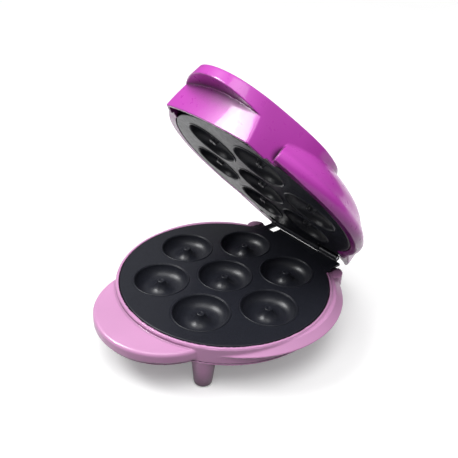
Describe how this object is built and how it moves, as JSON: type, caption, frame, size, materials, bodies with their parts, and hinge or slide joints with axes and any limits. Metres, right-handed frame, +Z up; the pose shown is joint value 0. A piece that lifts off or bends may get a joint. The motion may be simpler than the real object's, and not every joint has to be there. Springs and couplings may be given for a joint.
{
  "type": "donut maker",
  "caption": "Tabletop donut maker: hinged lid over a round base on legs, each half with a non-stick plate of ring-shaped wells and its own heater.",
  "frame": {"origin": "centre of the object's footprint box, on the surface it stands on, with the lid open as stored", "axes": "+Z up, +Y towards the hinge and cord outlet at the rear, +X to the right seen from the front handle"},
  "size_m": [0.221, 0.258, 0.2471],
  "materials": {
    "base_pink": "light pink gloss moulding",
    "lid_magenta": "magenta high-gloss moulding",
    "nonstick": "die-cast aluminium with a satin charcoal non-stick coating",
    "heater_steel": "heat-tinted steel tube",
    "reflector_sheet": "pressed bright sheet",
    "zinc_screw": "zinc-plated",
    "ceramic": "unglazed white ceramic",
    "phenolic": "dark moulded phenolic",
    "rubber_foot": "black rubber",
    "lens_red": "tinted translucent lens",
    "lens_green": "tinted translucent lens",
    "lamp_glass": "clear neon lamp glass",
    "wire_sleeve": "woven glass-fibre sleeve"
  },
  "bodies": {
    "base": {"base_upper_shell": "base_pink", "base_tub": "base_pink", "foot_pads": "rubber_foot", "housing_screws": "zinc_screw", "cord_gland": "rubber_foot", "lower_plate": "nonstick", "hinge_pin": "zinc_screw", "lower_heating_element": "heater_steel", "lower_element_insulators": "ceramic", "lower_reflector": "reflector_sheet", "lower_plate_screws": "zinc_screw", "lower_thermal_fuse": "zinc_screw", "thermostat": "phenolic", "terminal_block": "ceramic", "base_wiring": "wire_sleeve"},
    "lid": {"lid_shell": "lid_magenta", "upper_plate": "nonstick", "upper_heating_element": "heater_steel", "upper_element_insulators": "ceramic", "upper_reflector": "reflector_sheet", "upper_plate_screws": "zinc_screw", "upper_thermal_fuse": "zinc_screw", "power_light_lens": "lens_red", "ready_light_lens": "lens_green", "indicator_lamps": "lamp_glass", "lid_wiring": "wire_sleeve"}
  },
  "joints": [
    {"name": "lid_hinge", "type": "hinge", "parent": "base", "child": "lid", "pos_m": [0, 0.1105, 0.0492], "axis": [-1, 0, 0], "range_deg": [-48.75, 50]}
  ]
}
